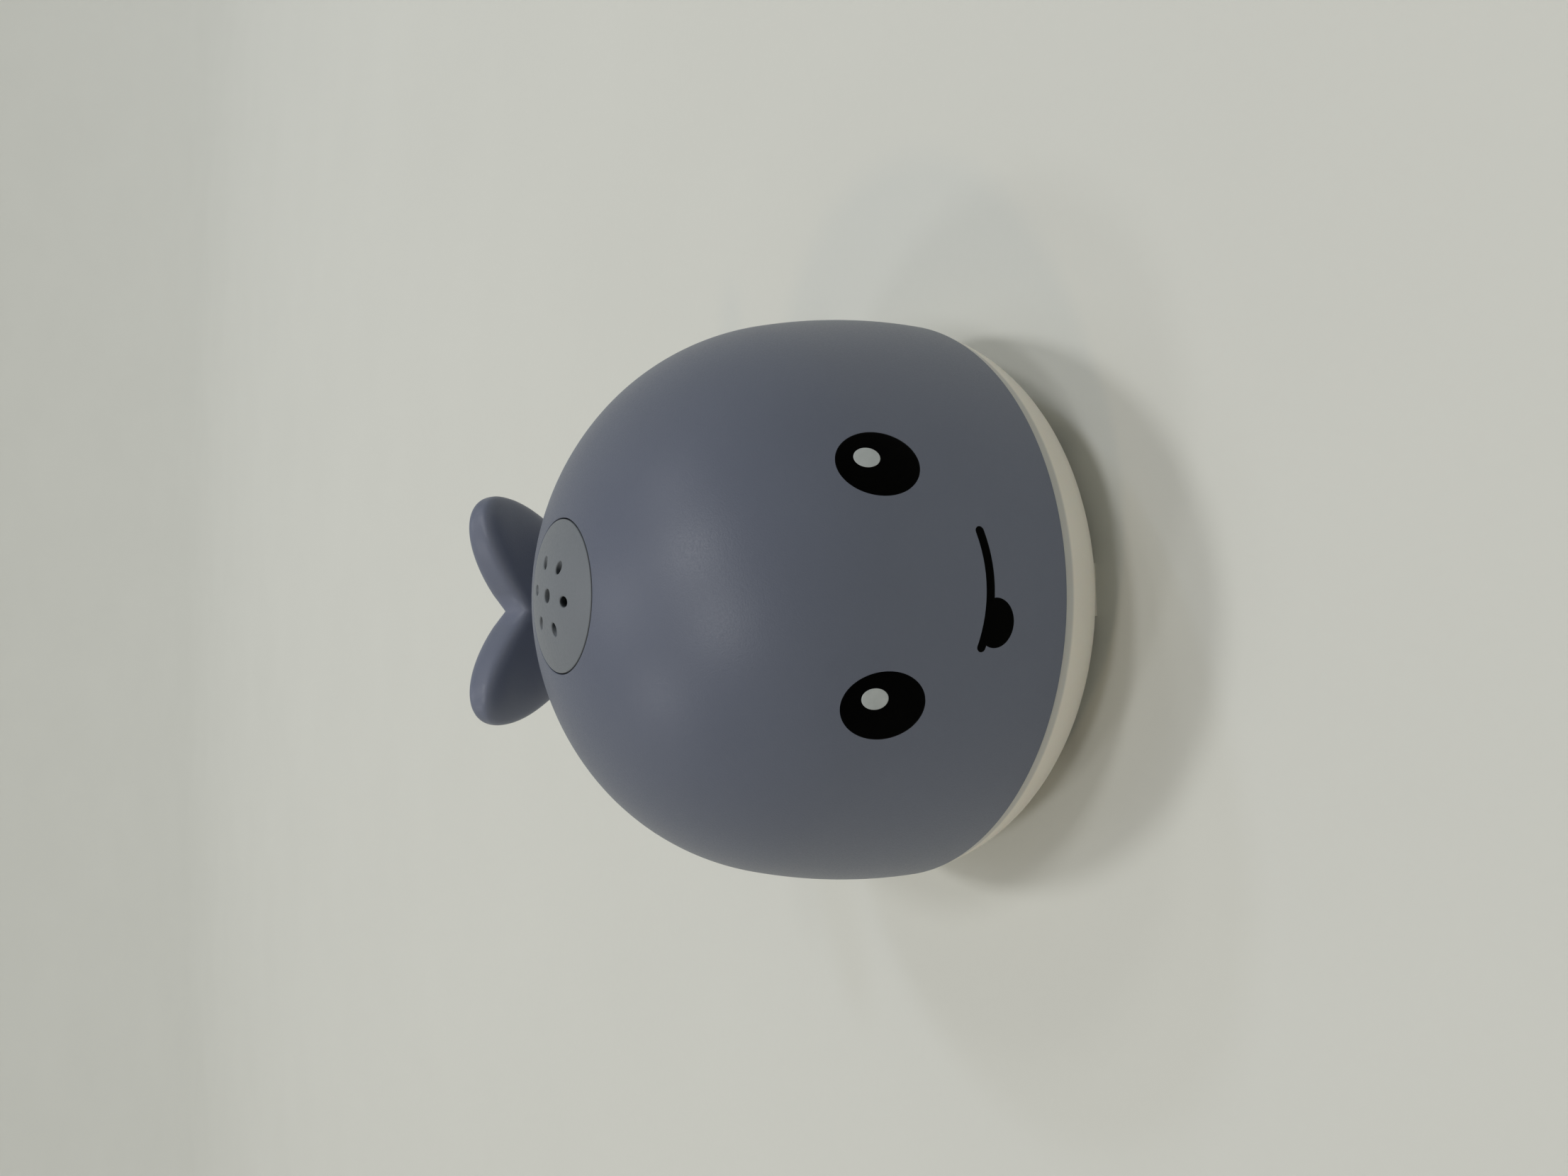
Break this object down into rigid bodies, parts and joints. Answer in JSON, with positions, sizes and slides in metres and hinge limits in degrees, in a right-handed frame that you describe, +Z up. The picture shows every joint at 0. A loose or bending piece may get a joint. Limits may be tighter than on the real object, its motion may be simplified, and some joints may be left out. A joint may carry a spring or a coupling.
{
  "type": "spraying whale bath toy",
  "caption": "Domed whale bath toy on a white base, with curled tail flukes, a printed face, a lift-off spray cap in the crown and a battery pump inside.",
  "frame": {"origin": "on the floor that the feet stand on, on the plane of symmetry, midway between the face and the back of the tail", "axes": "+Z up, the face towards -Y and the tail towards +Y"},
  "size_m": [0.096, 0.112, 0.0767],
  "materials": {
    "shell_plastic": "moulded, fine satin grain",
    "cap_plastic": "moulded, fine satin grain",
    "base_plastic": "moulded, satin",
    "black_ink": "pad print, semi-gloss",
    "white_ink": "pad print, semi-gloss",
    "seal_rubber": "moulded silicone",
    "hose_rubber": "drawn, translucent",
    "inner_plastic": "moulded",
    "dark_plastic": "moulded",
    "screw_steel": "plated",
    "magnet_ferrite": "sintered",
    "contact_brass": "stamped",
    "cell_sleeve": "printed sleeve",
    "board_laminate": "solder mask",
    "lamp_resin": "cast, clear",
    "lead_sleeve": "extruded"
  },
  "bodies": {
    "body": {"upper_shell": "shell_plastic", "tail": "shell_plastic", "tail_screw": "screw_steel", "eye_print_left": "black_ink", "eye_print_right": "black_ink", "eye_glints": "white_ink", "mouth_print": "black_ink", "nozzle_cup": "inner_plastic", "delivery_hose": "hose_rubber", "base_shell": "base_plastic", "base_seal": "seal_rubber", "base_screws": "screw_steel", "sensor_studs": "screw_steel", "stud_seals": "seal_rubber", "stud_nuts": "screw_steel", "battery_box": "inner_plastic", "battery_1": "cell_sleeve", "battery_2": "cell_sleeve", "battery_3": "cell_sleeve", "battery_springs": "screw_steel", "battery_plates": "contact_brass", "pump_housing": "inner_plastic", "shaft_seal": "seal_rubber", "motor_can": "screw_steel", "motor_magnets": "magnet_ferrite", "motor_bushes": "contact_brass", "motor_end_cap": "dark_plastic", "motor_terminals": "contact_brass", "motor_clamp": "inner_plastic", "clamp_screws": "screw_steel", "circuit_board": "board_laminate", "board_screws": "screw_steel", "control_chip": "dark_plastic", "lamps": "lamp_resin", "battery_leads": "lead_sleeve", "motor_leads": "lead_sleeve", "sensor_leads": "lead_sleeve"},
    "cap": {"spray_cap": "cap_plastic", "cap_seal": "seal_rubber"},
    "rotor": {"motor_shaft": "screw_steel", "motor_armature": "contact_brass", "impeller": "inner_plastic"},
    "door": {"battery_door": "base_plastic", "door_gasket": "seal_rubber", "door_screws": "screw_steel"}
  },
  "joints": [
    {"name": "cap_lift", "type": "slide", "parent": "body", "child": "cap", "axis": [0, 0, 1], "range_m": [0, 0.02]},
    {"name": "rotor_spin", "type": "hinge", "parent": "body", "child": "rotor", "pos_m": [0, -0.0305, 0.02], "axis": [0, 0, 1], "continuous": true},
    {"name": "door_drop", "type": "slide", "parent": "body", "child": "door", "axis": [0, 0, -1], "range_m": [0, 0.014]}
  ]
}
